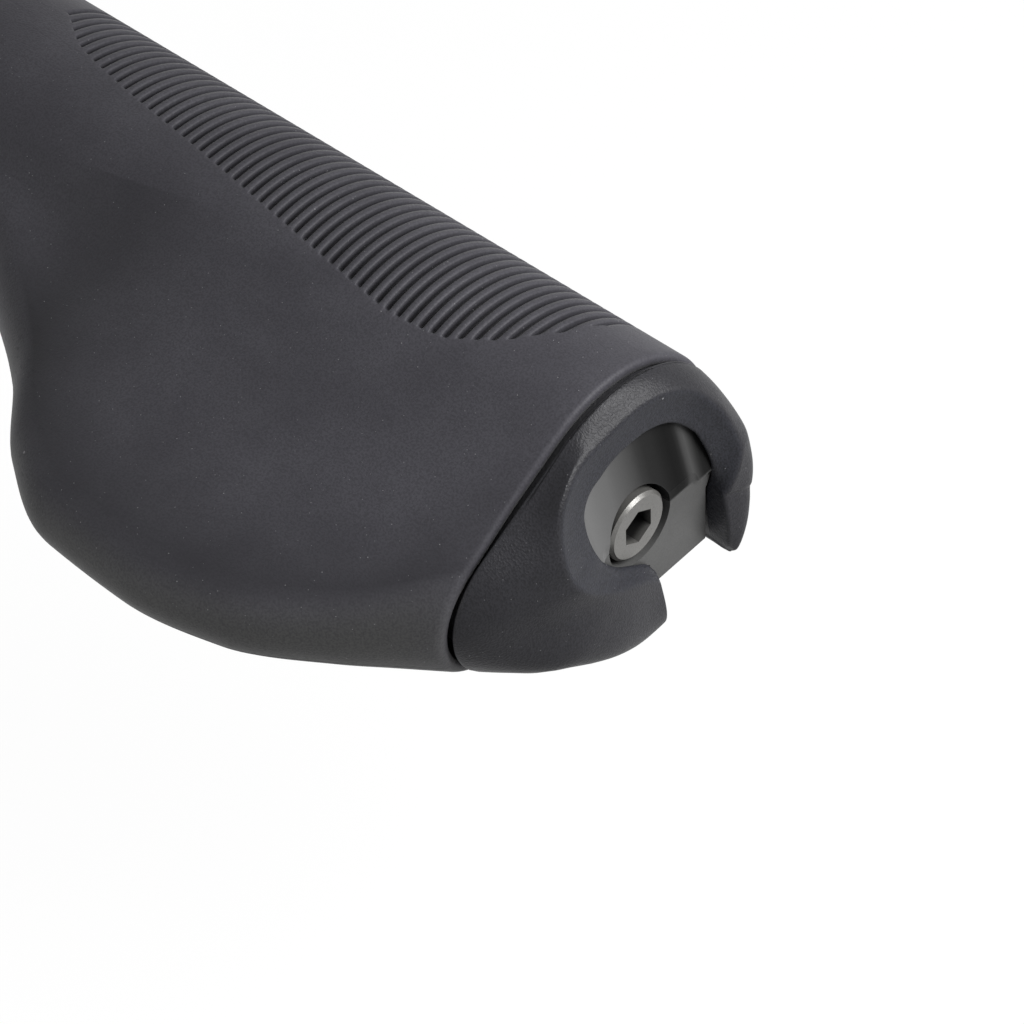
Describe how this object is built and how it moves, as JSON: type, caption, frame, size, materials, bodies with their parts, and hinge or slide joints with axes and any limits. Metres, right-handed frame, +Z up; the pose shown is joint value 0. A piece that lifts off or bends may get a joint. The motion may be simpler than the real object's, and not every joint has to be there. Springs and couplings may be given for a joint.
{
  "type": "bar end grip",
  "caption": "Winged rubber handlebar grip with a slanted C-shaped end cap and an expanding wedge clamp that one hex-socket screw locks inside the bar.",
  "frame": {"origin": "on the handlebar's axis at the inboard mouth of the bar bore", "axes": "+X outboard along the bar towards the end cap, +Y forward away from the palm wing, +Z up"},
  "size_m": [0.1316, 0.0588, 0.0332],
  "materials": {
    "rubber": "matte",
    "core_plastic": "matte",
    "shell_plastic": "satin",
    "jaw_metal": "satin",
    "steel": "satin",
    "wedge_metal": "satin",
    "ring_rubber": "matte"
  },
  "bodies": {
    "grip": {"rubber_sleeve": "rubber", "grip_core": "core_plastic", "end_shell": "shell_plastic", "bolt_washer": "steel", "jaw_rings": "ring_rubber"},
    "screw": {"clamp_bolt": "steel"},
    "wedge": {"wedge_block": "wedge_metal", "wedge_nut": "steel"},
    "jaw_up": {"upper_jaw": "jaw_metal"},
    "jaw_down": {"lower_jaw": "jaw_metal"}
  },
  "joints": [
    {"name": "bolt_turn", "type": "hinge", "parent": "grip", "child": "screw", "pos_m": [0.128, 0, 0], "axis": [-1, 0, 0], "range_deg": [0, 1440]},
    {"name": "wedge_slide", "type": "slide", "parent": "grip", "child": "wedge", "axis": [1, 0, 0], "range_m": [0, 0.0032]},
    {"name": "upper_jaw_spread", "type": "hinge", "parent": "grip", "child": "jaw_up", "pos_m": [0.13, 0, 0], "axis": [0, 1, 0], "range_deg": [0, 0.6]},
    {"name": "lower_jaw_spread", "type": "hinge", "parent": "grip", "child": "jaw_down", "pos_m": [0.13, 0, 0], "axis": [0, -1, 0], "range_deg": [0, 0.6]}
  ],
  "couplings": [
    {"joint": "bolt_turn", "follows": "wedge_slide", "rad_per_m": 7854},
    {"joint": "upper_jaw_spread", "follows": "wedge_slide", "rad_per_m": 3.2724},
    {"joint": "lower_jaw_spread", "follows": "wedge_slide", "rad_per_m": 3.2724}
  ]
}
